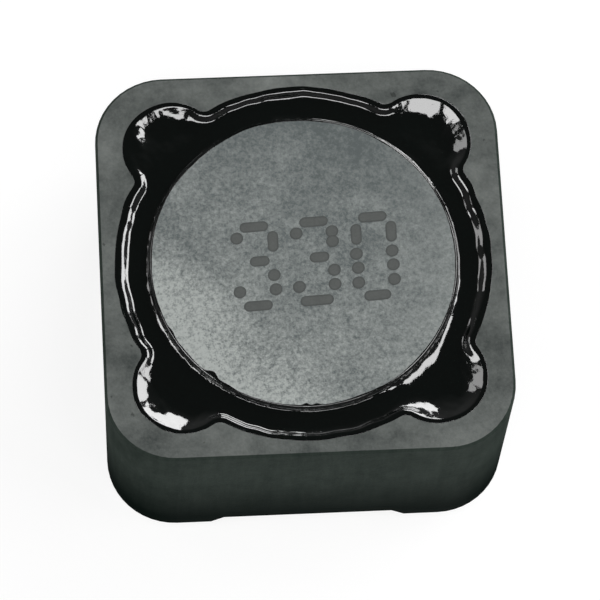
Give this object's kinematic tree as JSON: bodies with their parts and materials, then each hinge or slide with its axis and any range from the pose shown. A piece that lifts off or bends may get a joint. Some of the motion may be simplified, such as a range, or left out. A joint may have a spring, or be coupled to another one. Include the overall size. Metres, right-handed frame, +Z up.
{
  "type": "shielded smd inductor",
  "caption": "Square surface-mount power inductor: a wire-wound ferrite drum bonded inside a ferrite shield ring on a moulded base with a wrap-round solder terminal on each side.",
  "frame": {"origin": "on the mounting plane, under the middle of the part", "axes": "+Z up through the drum's axis, +X towards the start terminal"},
  "size_m": [0.0122, 0.0122, 0.0069],
  "materials": {
    "ring_ferrite": "matt pressed ferrite",
    "drum_ferrite": "matt ground ferrite",
    "copper_wire": "enamelled",
    "base_plastic": "moulded",
    "tinned_strip": "bright tin",
    "solder": "bright solder",
    "potting_resin": "glossy",
    "slot_adhesive": "glossy"
  },
  "bodies": {
    "root": {"shield_ring": "ring_ferrite", "drum_core": "drum_ferrite", "winding": "copper_wire", "base_half_start": "base_plastic", "base_half_finish": "base_plastic", "terminal_start": "tinned_strip", "terminal_finish": "tinned_strip", "solder_start": "solder", "solder_finish": "solder", "top_resin": "potting_resin", "base_adhesive": "slot_adhesive"}
  },
  "joints": []
}
